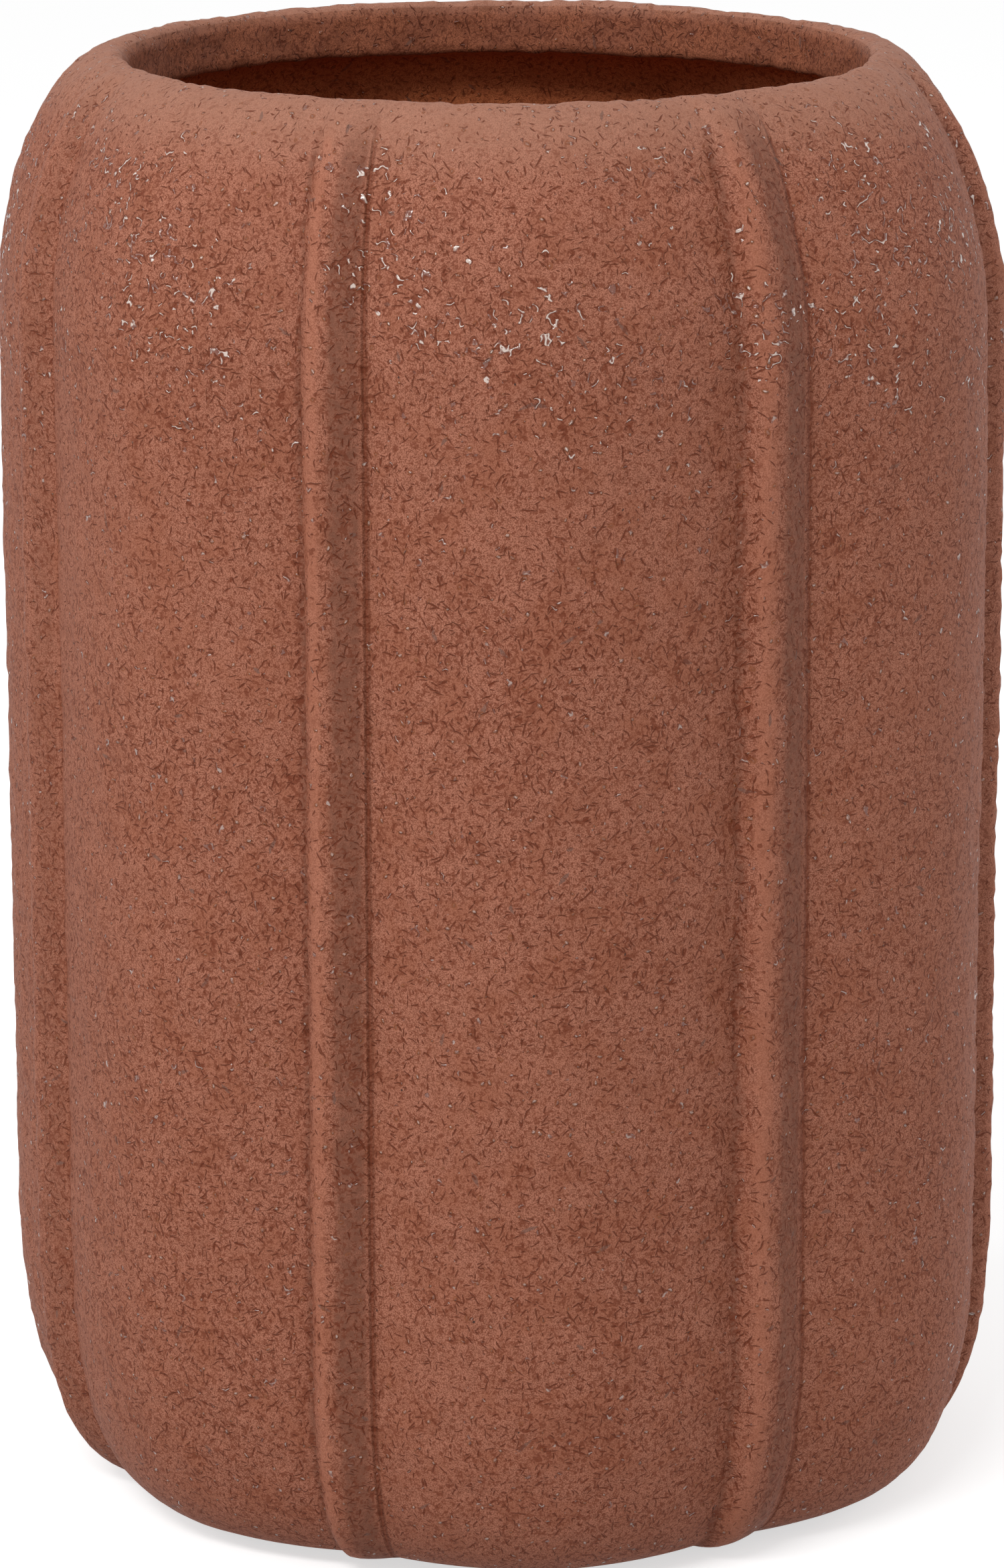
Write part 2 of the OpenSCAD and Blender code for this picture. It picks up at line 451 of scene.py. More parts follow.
    def material(self) -> bpy.types.Material:
        """Builds the material: matt slip, and the same slip glossy on its beads and drops."""
        material, g = new_material(self.name)
        on = Ground(g, self.worn_from, self.worn_to)
        marks = self.score(g, on)
        shared = {"Base Color": self.colour(g, on, marks), "Normal": self.normal(g, on, marks)}
        rough = g.ease(on.middle, 0.3, 0.7, (self.rough, self.rough - 0.15))
        matt = {**shared, "Roughness": rough, "Specular IOR Level": 0.2}
        glossy = {**shared, "Roughness": self.gloss_rough, "Specular IOR Level": 0.75}
        shaders = {
            0: g.most(g.ease(marks.beads, 0.2, 0.5), marks.drops),
            1: g.node("ShaderNodeBsdfPrincipled", {}, matt),
            2: g.node("ShaderNodeBsdfPrincipled", {}, glossy),
        }
        g.add("ShaderNodeOutputMaterial", {}, {"Surface": g.node("ShaderNodeMixShader", {}, shaders)})
        return material


@dataclass(frozen=True)
class Rubber:
    """Moulded rubber: matt, faintly mottled and dusty on its raised parts."""

    name: str
    colour: Colour
    dust: Colour
    mottle_size: float = 4 * MM
    pore_size: float = 0.4 * MM
    relief: float = 0.08 * MM

    def material(self) -> bpy.types.Material:
        """Builds the material."""
        material, g = new_material(self.name)
        solid = g.node("ShaderNodeTexCoord", {}, {}, "Object")
        mottle = g.noise(solid, self.mottle_size, 3.0)
        pores = g.noise(solid, self.pore_size, 1.0)
        colour = g.mix(g.ease(mottle, 0.35, 0.75, (0.0, 0.5)), self.colour, self.dust)
        roughness = g.ease(mottle, 0.3, 0.7, (0.55, 0.8))
        normal = g.bump(pores * 0.7 + mottle * 0.6, self.relief)
        sockets = {"Base Color": colour, "Roughness": roughness, "Normal": normal}
        shader = g.node("ShaderNodeBsdfPrincipled", {}, sockets)
        g.add("ShaderNodeOutputMaterial", {}, {"Surface": shader})
        return material


class Finish(Enum):
    """Every finish on the object."""

    WALL = Slip("red_slip", (0.392, 0.153, 0.096), (0.198, 0.063, 0.034), (0.128, 0.023, 0.006),
                (0.262, 0.081, 0.039))
    NECK = Slip("red_slip_in_the_neck", (0.32, 0.106, 0.053), (0.168, 0.051, 0.024),
                (0.095, 0.020, 0.007), (0.20, 0.065, 0.035), wet=0.0, worn_from=296.5 * MM)
    INSIDE = Slip("thin_slip_inside", (0.57, 0.182, 0.070), (0.33, 0.094, 0.034),
                  (0.20, 0.043, 0.014), (0.40, 0.110, 0.042), crowd=0.7, wet=0.0)
    FOOT = Slip("bare_clay_foot", (0.36, 0.19, 0.125), (0.24, 0.115, 0.075), (0.16, 0.07, 0.045),
                (0.3, 0.15, 0.1), crowd=0.15, wet=0.0)
    BUNG = Rubber("black_rubber", (0.022, 0.022, 0.023), (0.05, 0.048, 0.046))
    PAD = Rubber("grey_rubber", (0.04, 0.039, 0.038), (0.075, 0.072, 0.068))


# ---------------------------------------------------------------- modelling by hand


class Bench:
    """Blender's modelling tools, used on one piece at a time."""

    LIGHTEST = 1e-4

    @staticmethod
    def clear() -> None:
        """Leaves edit mode and deselects everything."""
        if bpy.context.mode != "OBJECT":
            bpy.ops.object.mode_set(mode="OBJECT")
        bpy.ops.object.select_all(action="DESELECT")

    @staticmethod
    def take(piece: bpy.types.Object, edit: bool = False) -> None:
        """Selects a piece alone, and opens it in edit mode if asked."""
        Bench.clear()
        bpy.context.view_layer.objects.active = piece
        piece.select_set(True)
        if edit:
            bpy.ops.object.mode_set(mode="EDIT")

    @staticmethod
    def pick(piece: bpy.types.Object, test: Callable[[Vector], bool]) -> None:
        """Selects the points of an open piece that pass a test on their place."""
        bpy.ops.mesh.select_mode(type="VERT")
        bpy.ops.mesh.select_all(action="DESELECT")
        bpy.ops.object.mode_set(mode="OBJECT")
        for point in piece.data.vertices:
            point.select = test(point.co)
        bpy.ops.object.mode_set(mode="EDIT")

    @staticmethod
    def move(by: Vector, reach: float = 0.0) -> None:
        """Moves what is selected, and softly what lies within reach of it."""
        bpy.ops.transform.translate(value=by, use_proportional_edit=reach > 0,
                                    proportional_edit_falloff="SMOOTH",
                                    proportional_size=reach or 1.0)

    @staticmethod
    def outline(name: str, points: Sequence[Point], bearing: float) -> bpy.types.Object:
        """Draws a chain of edges in an upright half-plane.

        Args:
            name: Name of the new piece.
            points: (radius, height) of each point.
            bearing: Angle of the half-plane from +X.

        Returns:
            The piece, open in edit mode, with the whole chain selected.
        """
        out = Vector((math.cos(bearing), math.sin(bearing), 0.0))
        up = Vector((0.0, 0.0, 1.0))
        places = [out * r + up * z for r, z in points]
        Bench.clear()
        bpy.ops.mesh.primitive_plane_add(size=MM, location=(0.0, 0.0, 0.0))
        piece = bpy.context.active_object
        piece.name = piece.data.name = name
        bpy.ops.object.mode_set(mode="EDIT")
        bpy.ops.mesh.select_all(action="SELECT")
        bpy.ops.mesh.merge(type="CENTER")
        Bench.move(places[0])
        for here, there in zip(places, places[1:]):
            step = {"value": there - here, "use_proportional_edit": False}
            bpy.ops.mesh.extrude_region_move(TRANSFORM_OT_translate=step)
        bpy.ops.mesh.select_all(action="SELECT")
        return piece

    @staticmethod
    def spin(stretches: Sequence[tuple[float, int]]) -> None:
        """Turns the selected chain about the Z axis, stretch by stretch, and closes the form.

        Args:
            stretches: (angle, number of steps) of each stretch. They add up to a full turn.
        """
        for angle, steps in stretches:
            bpy.ops.mesh.spin(steps=steps, angle=angle, center=(0, 0, 0), axis=(0, 0, 1))
        bpy.ops.mesh.select_all(action="SELECT")
        bpy.ops.mesh.remove_doubles(threshold=WELD)
        bpy.ops.mesh.normals_make_consistent(inside=False)

    @staticmethod
    def modify(piece: bpy.types.Object, kind: str, **settings: object) -> None:
        """Adds a modifier to a piece and applies it."""
        Bench.take(piece)
        modifier = piece.modifiers.new(kind.lower(), kind)
        for name, value in settings.items():
            setattr(modifier, name, value)
        bpy.ops.object.modifier_apply(modifier=modifier.name)

    @staticmethod
    def paint(piece: bpy.types.Object, name: str, weights: np.ndarray) -> str:
        """Gives a piece a vertex group of these weights, and returns its name."""
        group = piece.vertex_groups.new(name=name)
        for index in np.nonzero(weights > Bench.LIGHTEST)[0]:
            group.add([int(index)], float(weights[index]), "REPLACE")
        return group.name

    @staticmethod
    def smooth(piece: bpy.types.Object, angle: float) -> None:
        """Shades a piece smooth, but not across edges sharper than an angle."""
        Bench.take(piece)
        bpy.ops.object.shade_smooth_by_angle(angle=angle)


def places_of(piece: bpy.types.Object) -> np.ndarray:
    """The places of a piece's points, one row each."""
    places = np.empty(len(piece.data.vertices) * 3)
    piece.data.vertices.foreach_get("co", places)
    return places.reshape(-1, 3)


def evenly(points: Sequence[Point], step: float) -> list[Point]:
    """Points along the same line, about a step apart, with its two ends kept."""
    line = np.array(points)
    gone = np.concatenate([[0.0], np.cumsum(np.linalg.norm(np.diff(line, axis=0), axis=1))])
    at = np.linspace(0.0, gone[-1], max(2, round(gone[-1] / step) + 1))
    return list(zip(np.interp(at, gone, line[:, 0]), np.interp(at, gone, line[:, 1])))


def rounded(points: Sequence[tuple[float, float, float]], steps: int = 4) -> list[Point]:
    """A line whose inner corners are rounded off.

    Args:
        points: (radius, height, rounding) of each corner, the rounding being how far along
            its two sides the curve begins.
        steps: Number of edges in each rounded corner.

    Returns:
        The (radius, height) of each point.
    """
    line = [Vector(points[0][:2])]
    for before, (r, z, size), after in zip(points, points[1:], points[2:]):
        corner = Vector((r, z))
        start = corner + (Vector(before[:2]) - corner).normalized() * size
        end = corner + (Vector(after[:2]) - corner).normalized() * size
        for share in (i / steps for i in range(steps + 1)):
            line.append(start.lerp(corner, share).lerp(corner.lerp(end, share), share))
    line.append(Vector(points[-1][:2]))
    return [tuple(point) for point in line]


# ---------------------------------------------------------------- the shell


class Zone(Enum):
    """Stretches of the shell's outline, in order, and the finish that each has."""

    FOOT = Finish.FOOT
    WALL = Finish.WALL
    NECK = Finish.NECK
    INSIDE = Finish.INSIDE


@dataclass(frozen=True)
class Lumps:
    """Soft unevenness of a wall: how far apart its lumps are, and how high."""

    name: str
    size: float
    depth: int
    height: float


@dataclass
class Shell:
    """The fired shell: foot, ribbed wall, shoulder, rolled rim, neck and inside.

    Inside, the floor is round out to floor_plain of the foot's radius, and follows the panels
    floor_blend of it further out. The marks of the ribs in the slip begin marks_start below the
    rim, are full marks_blend lower, and end marks_reach half widths from a rib's middle. The
    wall's unevenness grows with height up to skin_h and with radius up to about skin_r. The band
    of the rim that leans is band_w wide, from the mouth out, and band_h high.
    """

    node: str = "pot_body"
    body: str = "pot"
    slot: str = "stoneware"
    wall: float = 7 * MM
    floor_t: float = 9 * MM
    foot_r: float = 80 * MM
    foot_h: float = 55 * MM
    hollow_r: float = 50 * MM
    hollow_depth: float = 2.5 * MM
    shoulder_h: float = 52 * MM
    lip_r: float = 3 * MM
    rim_flat: float = 0.5 * MM
    neck_h: float = 11 * MM
    ledge_w: float = 3 * MM
    drain_r: float = 9 * MM
    rib_count: int = 7
    rib_w: float = 15 * MM
    rib_height: float = 4.2 * MM
    crease_depth: float = 6 * MM
    first_rib: float = math.radians(90)
    foot_square: float = 2.45
    shoulder_square: float = 1.8
    cavity_square: float = 2.6
    panel_power: float = 1.53
    rib_crest: float = -0.4
    rib_powers: tuple[float, float] = (2.2, 1.6)
    rib_widths: tuple[float, ...] = (1.0, 1.05, 0.96, 0.9, 1.12, 1.04, 0.98)
    rib_shifts: tuple[float, ...] = (0.3, -0.4, 0.2, -0.95, -1.0, 0.3, -0.3)
    rib_marks: tuple[float, ...] = (0.8, 0.9, 0.4, 1.0, 1.0, 0.6, 0.8)
    fade_power: float = 0.4
    crease_at_rim: float = 0.44
    rib_at_rim: float = 0.3
    relief_at_foot: float = 0.9
    floor_plain: float = 0.5
    floor_blend: float = 0.3
    marks_start: float = 1.5 * MM
    marks_blend: float = 8 * MM
    marks_reach: float = 2.6
    skin_h: float = 20 * MM
    skin_r: float = 40 * MM
    band_w: float = 6 * MM
    band_h: float = 5 * MM
    lean: float = 1.3 * MM
    lean_reach: float = 60 * MM
    unevenness: tuple[Lumps, ...] = (
        Lumps("sway", 70 * MM, 1, 0.8 * MM),
        Lumps("lumps", 8 * MM, 2, 0.8 * MM),
        Lumps("crumbs", 3 * MM, 1, 0.75 * MM),
    )
    rib_steps: int = 12
    panel_steps: int = 42
    foot_step: float = 3 * MM
    outside_step: float = 1.9 * MM
    lip_step: float = 0.8 * MM
    neck_step: float = 1.2 * MM
    inside_step: float = 8.5 * MM
    drain_margin: float = 4 * MM
    body_r: float = field(init=False)
    base_z: float = field(init=False)
    rim_z: float = field(init=False)
    mouth_r: float = field(init=False)
    rim_r: float = field(init=False)
    shoulder_z: float = field(init=False)
    ledge_z: float = field(init=False)
    floor_z: float = field(init=False)
    hollow_z: float = field(init=False)
    pitch: float = field(init=False)
    half_rib: float = field(init=False)

    def __post_init__(self) -> None:
        """Reads the overall sizes from the frame."""
        low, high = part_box(self.node)
        self.body_r, self.base_z, self.rim_z = -low.y, low.z, high.z
        mouth = next(m for m in frame["record"]["mounts"] if m["name"] == "mouth")
        self.mouth_r = mouth["dims"]["r_mm"] * MM
        self.rim_r = self.mouth_r + self.lip_r + self.rim_flat
        self.shoulder_z = self.rim_z - self.shoulder_h
        self.ledge_z = self.rim_z - self.neck_h
        self.floor_z = self.base_z + self.floor_t
        self.hollow_z = self.base_z + self.hollow_depth
        self.pitch = 2 * math.pi / self.rib_count
        self.half_rib = math.asin(self.rib_w / 2 / self.body_r)

    @staticmethod
    def corner(start: Point, end: Point, square: float, upright_last: bool) -> list[Point]:
        """A rounded corner between a level and an upright stretch.

        Args:
            start: (radius, height) where it begins.
            end: (radius, height) where it ends.
            square: Its squareness, 2 being an ellipse.
            upright_last: Whether it ends upright, as the foot does, or level, as the shoulder does.

        Returns:
            Points from start to end.
        """
        turns = np.radians(np.linspace(0.0, 90.0, 181))
        fast, slow = np.sin(turns) ** (2 / square), 1 - np.cos(turns) ** (2 / square)
        out, up = (fast, slow) if upright_last else (slow, fast)
        return list(zip(start[0] + (end[0] - start[0]) * out, start[1] + (end[1] - start[1]) * up))

    def zones(self) -> list[tuple[Zone, list[Point]]]:
        """The outline, from the hollow's edge round the outside and inside to the hollow again."""
        foot_top = self.base_z + self.foot_h
        foot_start = (self.hollow_r + self.foot_step, self.base_z)
        floor_edge = (self.drain_r + self.drain_margin, self.floor_z)
        ledge = (self.mouth_r + self.ledge_w, self.ledge_z)
        cavity_r, low_r = self.body_r - self.wall, self.foot_r - self.wall
        outside = self.corner((self.foot_r, self.base_z), (self.body_r, foot_top),
                              self.foot_square, True)
        outside += self.corner((self.body_r, self.shoulder_z), (self.rim_r, self.rim_z),
                               self.shoulder_square, False)
        upper = self.corner((cavity_r, self.shoulder_z), ledge, self.cavity_square, False)
        lower = self.corner((low_r, self.floor_z), (cavity_r, foot_top), self.cavity_square, True)
        turns = np.radians(np.linspace(0.0, 90.0, 19))
        lip = [(self.mouth_r + self.lip_r * (1 - math.sin(turn)),
                self.rim_z - self.lip_r * (1 - math.cos(turn))) for turn in turns]
        crest = len(lip) // 2
        neck = rounded([(self.mouth_r, self.rim_z - self.lip_r, 0.0),
                        (self.mouth_r, self.ledge_z, 1.2 * MM), (*ledge, 0.0)])
        bottom = rounded([(*floor_edge, 0.0), (self.drain_r, self.floor_z, 0.8 * MM),
                          (self.drain_r, self.hollow_z, 0.8 * MM),
                          (self.hollow_r, self.hollow_z, 1.0 * MM),
                          (self.hollow_r, self.base_z, 0.6 * MM), (*foot_start, 0.0)])
        return [
            (Zone.FOOT, evenly([foot_start, (self.foot_r, self.base_z)], self.foot_step)),
            (Zone.WALL, evenly(outside, self.outside_step)),
            (Zone.WALL, evenly(lip[:crest + 1], self.lip_step)),
            (Zone.NECK, evenly(lip[crest:], self.lip_step)),
            (Zone.NECK, evenly(neck, self.neck_step)),
            (Zone.INSIDE, evenly([*upper[::-1], *lower[::-1], floor_edge], self.inside_step)),
            (Zone.FOOT, bottom),
        ]

    def from_rib(self, bearing: np.ndarray) -> tuple[np.ndarray, np.ndarray, np.ndarray]:
        """Finds the nearest rib of each bearing.

        Args:
            bearing: Angles from +X.

        Returns:
            How far each is past the rib's middle, anticlockwise, then half the rib's own width,
            and the rib's number. Widths are angles.
        """
        turn = (bearing - self.first_rib) / self.pitch
        nearest = np.round(turn)
        number = nearest.astype(int) % self.rib_count
        off = (turn - nearest) * self.pitch - np.radians(self.rib_shifts)[number]
        return off, self.half_rib * np.array(self.rib_widths)[number], number

    def sag(self, off: np.ndarray, half: np.ndarray) -> np.ndarray:
        """Depth of a panel below its crown, 1 at the crease beside a rib."""
        across = (np.abs(off) - half) / (self.pitch / 2 - half)
        return (1 - np.clip(across, 0.0, 1.0)) ** self.panel_power

    def rise(self, off: np.ndarray, half: np.ndarray) -> np.ndarray:
        """Height of a rib above its creases, 1 on its crest, which stands off its middle."""
        past = off / half - self.rib_crest
        left, right = self.rib_powers
        before = (np.abs(past) / (1 + self.rib_crest)) ** left
        after = (np.abs(past) / (1 - self.rib_crest)) ** right
        return np.clip(1 - np.where(past < 0, before, after), 0.0, 1.0)

    def fade(self, height: np.ndarray, at_rim: float) -> np.ndarray:
        """How much of the relief is left at each height on the outside."""
        to_rim = np.clip((self.rim_z - height) / self.shoulder_h, 0.0, 1.0)
        over = at_rim + (1 - at_rim) * np.sin(to_rim * math.pi / 2) ** self.fade_power
        from_foot = np.clip((height - self.base_z) / self.foot_h, 0.0, 1.0)
        under = self.relief_at_foot + (1 - self.relief_at_foot) * np.sin(from_foot * math.pi / 2)
        return over * under

    def build(self) -> bpy.types.Object:
        """Draws the outline, spins it, presses the panels and ribs into it and dresses it.

        Returns:
            The finished piece.
        """
        line, zones = self.closed_line()
        start = self.first_rib - self.half_rib
        piece = Bench.outline("slipped_pot", [*line, line[0]], start)
        bpy.ops.mesh.remove_doubles(threshold=WELD)
        Bench.spin([(2 * self.half_rib, self.rib_steps),
                    (self.pitch - 2 * self.half_rib, self.panel_steps)] * self.rib_count)
        Bench.clear()
        ring = self.rings_of(piece, line)
        self.map_surface(piece, line, ring)
        self.paint_finishes(piece, zones, ring)
        self.press_panels(piece, zones, ring)
        self.note_ribs(piece, zones, ring)
        self.settle(piece, zones, ring)
        Bench.smooth(piece, math.radians(70))
        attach(piece, self.body)
        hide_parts(self.node)
        return piece

    def closed_line(self) -> tuple[list[Point], list[Zone]]:
        """The whole outline without its doubled points, and the zone of each point."""
        same = 0.05 * MM
        line: list[Point] = []
        zones: list[Zone] = []
        for zone, points in self.zones():
            for point in points:
                if not line or math.dist(point, line[-1]) > same:
                    line.append(point)
                    zones.append(zone)
        if math.dist(line[0], line[-1]) < same:
            line.pop()
            zones.pop()
        return line, zones

    @staticmethod
    def rings_of(piece: bpy.types.Object, line: Sequence[Point]) -> np.ndarray:
        """The number of the outline's point that each of the piece's points was spun from."""
        tree = KDTree(len(line))
        for number, (r, z) in enumerate(line):
            tree.insert((r, z, 0.0), number)
        tree.balance()
        return np.array([tree.find((math.hypot(x, y), z, 0.0))[1] for x, y, z in places_of(piece)])

    def map_surface(self, piece: bpy.types.Object, line: Sequence[Point], ring: np.ndarray) -> None:
        """Gives the piece a flat map in metres: round the pot, and along its outline."""
        closed = np.array([*line, line[0]])
        along = np.concatenate([[0.0], np.cumsum(np.linalg.norm(np.diff(closed, axis=0), axis=1))])
        places = places_of(piece)
        seam, hair = self.first_rib - self.half_rib, 1e-6
        bearing = np.mod(np.arctan2(places[:, 1], places[:, 0]) - seam + hair, 2 * math.pi)
        corners = np.empty(len(piece.data.loops), dtype=np.int64)
        piece.data.loops.foreach_get("vertex_index", corners)
        quads = corners.reshape(-1, 4)
        turn = bearing[quads]
        turn += np.where(turn.max(axis=1, keepdims=True) - turn > math.pi, 2 * math.pi, 0.0)
        length = along[ring[quads]]
        length += np.where(length.max(axis=1, keepdims=True) - length > along[-1] / 2, along[-1], 0.0)
        surface = piece.data.uv_layers.new(name=SURFACE_MAP)
        surface.data.foreach_set("uv", np.stack([turn * self.body_r, length], axis=2).ravel())

    @staticmethod
    def paint_finishes(piece: bpy.types.Object, zones: Sequence[Zone], ring: np.ndarray) -> None:
        """Gives each face the finish of its zone.

        A face between two zones takes the later one, but between the bare floor and the inside
        it stays bare.
        """
        slots = list(Zone)
        for zone in slots:
            piece.data.materials.append(material_of(zone.value))
        numbers = np.array([slots.index(zone) for zone in zones])
        corners = np.empty(len(piece.data.loops), dtype=np.int64)
        piece.data.loops.foreach_get("vertex_index", corners)
        faces = numbers[ring[corners]].reshape(-1, 4)
        last = faces.max(axis=1)
        bare = (faces.min(axis=1) == slots.index(Zone.FOOT)) & (last > slots.index(Zone.WALL))
        last[bare] = slots.index(Zone.FOOT)
        piece.data.polygons.foreach_set("material_index", last.astype(np.int32))

    @staticmethod
    def within(zone: Zone, zones: Sequence[Zone], ring: np.ndarray) -> np.ndarray:
        """Which of the piece's points lie in a zone."""
        return np.array([z is zone for z in zones])[ring]

    def press_panels(self, piece: bpy.types.Object, zones: Sequence[Zone], ring: np.ndarray) -> None:
        """Draws the creases in towards the axis and leaves the ribs standing, inside and out.

        pull is the share of its own radius that a point is drawn in by. Cast draws it in by
        factor * weight * (radius - size), so the weights are worked out from that.
        """
        places = places_of(piece)
        radius = np.hypot(places[:, 0], places[:, 1])
        height = places[:, 2]
        off, half, _ = self.from_rib(np.arctan2(places[:, 1], places[:, 0]))
        crease = self.sag(off, half) * self.crease_depth / self.body_r
        rib = self.rise(off, half) * self.rib_height / self.body_r
        outer = crease * self.fade(height, self.crease_at_rim) - rib * self.fade(height, self.rib_at_rim)
        over_lip = np.clip((radius - self.mouth_r) / (self.rim_r - self.mouth_r), 0.0, 1.0)
        on_lip = (height > self.rim_z - self.lip_r) & (radius < self.rim_r + MM)
        outer = np.where(on_lip, outer * over_lip, outer)
        under = outer * np.clip((radius - self.hollow_r) / (self.foot_r - self.hollow_r), 0.0, 1.0)
        up = np.clip((self.ledge_z - height) / (self.ledge_z - self.shoulder_z), 0.0, 1.0)
        inner = crease * np.sin(up * math.pi / 2) ** self.fade_power
        inner *= np.clip((radius - self.floor_plain * self.foot_r) / (self.floor_blend * self.foot_r), 0, 1)
        foot, wall, inside = (self.within(z, zones, ring) for z in (Zone.FOOT, Zone.WALL, Zone.INSIDE))
        pull = np.select([foot, wall, inside], [under, outer, inner], 0.0)
        size, factor = 1 * MM, 0.1
        weights = Bench.paint(piece, "pulled_in", np.clip(pull, 0, 1) * radius / (radius - size) / factor)
        Bench.modify(piece, "CAST", cast_type="CYLINDER", factor=factor, size=size, radius=0.0,
                     use_z=False, use_radius_as_size=False, vertex_group=weights)

    def note_ribs(self, piece: bpy.types.Object, zones: Sequence[Zone], ring: np.ndarray) -> None:
        """Notes on each point how far across a rib it is and how near, for the slip to read."""
        places = places_of(piece)
        off, half, number = self.from_rib(np.arctan2(places[:, 1], places[:, 0]))
        across = np.clip(off / half, -3.0, 3.0)
        below_rim = np.clip((self.rim_z - self.marks_start - places[:, 2]) / self.marks_blend, 0.0, 1.0)
        near = self.within(Zone.WALL, zones, ring) * below_rim * np.array(self.rib_marks)[number]
        near *= np.clip(self.marks_reach - np.abs(across), 0.0, 1.0)
        for name, values in ((ACROSS_RIB, across), (NEAR_RIB, near)):
            attribute = piece.data.attributes.new(name, "FLOAT", "POINT")
            attribute.data.foreach_set("value", values.astype(np.float32))

    def settle(self, piece: bpy.types.Object, zones: Sequence[Zone], ring: np.ndarray) -> None:
        """Gives the form the small unevenness of a thing that was cast, slipped and fired."""
        places = places_of(piece)
        skin = np.clip((places[:, 2] - self.base_z) / self.skin_h, 0.0, 1.0)
        skin *= np.clip(np.hypot(places[:, 0], places[:, 1]) / self.skin_r - 0.5, 0.0, 1.0)
        skin *= ~self.within(Zone.FOOT, zones, ring)
        group = Bench.paint(piece, "skin", skin)
        for lumps in self.unevenness:
            clouds = bpy.data.textures.new(lumps.name, "CLOUDS")
            clouds.noise_scale = lumps.size
            clouds.noise_depth = lumps.depth
            Bench.modify(piece, "DISPLACE", texture=clouds, texture_coords="LOCAL", mid_level=0.5,
                         strength=lumps.height, vertex_group=group)
        Bench.take(piece, edit=True)
        band_r, band_z = self.mouth_r + self.band_w, self.rim_z - self.band_h
        Bench.pick(piece, lambda p: p.z > band_z and math.hypot(p.x, p.y) < band_r)
        left = Vector((-math.cos(Studio.azimuth), -math.sin(Studio.azimuth), 0.0)) * self.lean
        Bench.move(left, self.lean_reach)
        Bench.clear()


# ---------------------------------------------------------------- the small pieces


@dataclass
class Bung:
    """The rubber bung in the drain hole, with a flange on the floor and a waisted grip."""

    floor_z: float
    node: str = "drain_plug"
    body: str = "plug"
    slot: str = "plug_rubber"
    stem_r: float = 8.7 * MM
    flange_t: float = 3 * MM
    grip_r: float = 5.5 * MM
    waist_r: float = 3.8 * MM
    head_t: float = 3.5 * MM
    dish: float = 0.8 * MM
    edge: float = 0.7 * MM
    around: int = 72

    def build(self) -> bpy.types.Object:
        """Draws half the bung's section and spins it."""
        low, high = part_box(self.node)
        flange_r = high.x
        flange_top = self.floor_z + self.flange_t
        head_z = high.z - self.head_t
        slope = self.grip_r - self.waist_r
        section = rounded([
            (0.0, low.z, 0.0), (self.stem_r - self.edge, low.z, 0.3 * MM),
            (self.stem_r, low.z + self.edge, 0.3 * MM), (self.stem_r, self.floor_z, 0.2 * MM),
            (flange_r, self.floor_z, 0.5 * MM), (flange_r, flange_top, self.edge),
            (self.waist_r, flange_top, 1.2 * MM), (self.waist_r, head_z - slope, 0.8 * MM),
            (self.grip_r, head_z, 0.6 * MM), (self.grip_r, high.z, 0.9 * MM),
            (self.grip_r - 1.4 * MM, high.z, 0.3 * MM),
            (self.grip_r - 2.2 * MM, high.z - self.dish, 0.4 * MM), (0.0, high.z - self.dish, 0.0)])
        piece = Bench.outline("rubber_bung", section, 0.0)
        Bench.spin([(2 * math.pi, self.around)])
        Bench.clear()
        piece.data.materials.append(material_of(Finish.BUNG))
        Bench.smooth(piece, math.radians(50))
        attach(piece, self.body)
        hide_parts(self.node)
        return piece


@dataclass
class Pads:
    """The thin rubber pads stuck under the foot ring: one is shaped, the others are its copies."""

    nodes: tuple[str, ...] = ("foot_pad_1", "foot_pad_2", "foot_pad_3", "foot_pad_4")
    body: str = "pot"
    slot: str = "pad_rubber"
    around: int = 48
    edge: float = 0.5 * MM
    tread: float = 0.35 * MM
    tread_edge: float = 0.4 * MM
    tread_from: float = 1.2 * MM
    tread_w: float = 1.6 * MM

    def build(self) -> list[bpy.types.Object]:
        """Shapes the first pad and copies it to the places of the others."""
        low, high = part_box(self.nodes[0])
        centre = (low + high) / 2
        radius, depth = (high.x - low.x) / 2, high.z - low.z
        Bench.clear()
        bpy.ops.mesh.primitive_cylinder_add(vertices=self.around, radius=radius, depth=depth,
                                            location=centre)
        first = bpy.context.active_object
        bpy.ops.object.transform_apply(location=True, rotation=True, scale=True)
        Bench.take(first, edit=True)
        bpy.ops.mesh.select_mode(type="FACE")
        Bench.pick(first, lambda p: p.z < low.z + self.edge / 2)
        bpy.ops.mesh.bevel(offset=self.edge, segments=3, affect="EDGES")
        Bench.pick(first, lambda p: p.z < low.z + 0.01 * MM)
        bpy.ops.mesh.select_mode(type="FACE")
        for inset, drop in ((self.tread_from, 0.0), (self.tread_edge, self.tread),
                            (self.tread_w, 0.0), (self.tread_edge, -self.tread)):
            bpy.ops.mesh.inset(thickness=inset)
            Bench.move(Vector((0.0, 0.0, drop)))
        Bench.clear()
        first.data.materials.append(material_of(Finish.PAD))
        Bench.smooth(first, math.radians(40))
        made = []
        for node in self.nodes:
            piece = first if node == self.nodes[0] else first.copy()
            if piece is not first:
                piece.data = first.data.copy()
                bpy.context.collection.objects.link(piece)
                other_low, other_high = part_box(node)
                Bench.take(piece, edit=True)
                bpy.ops.mesh.select_all(action="SELECT")
                Bench.move((other_low + other_high) / 2 - centre)
                Bench.clear()
            piece.name = piece.data.name = "rubber_" + node
            made.append(piece)
        for piece, node in zip(made, self.nodes):
            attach(piece, self.body)
            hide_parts(node)
        return made


# ---------------------------------------------------------------- the studio


@dataclass(frozen=True)
class Lamp:
    """A softbox that faces the object. Its azimuth is from the front, in degrees."""

    name: str
    azimuth: float
    elevation: float
    distance: float
    width: float
    height: float
    power: float


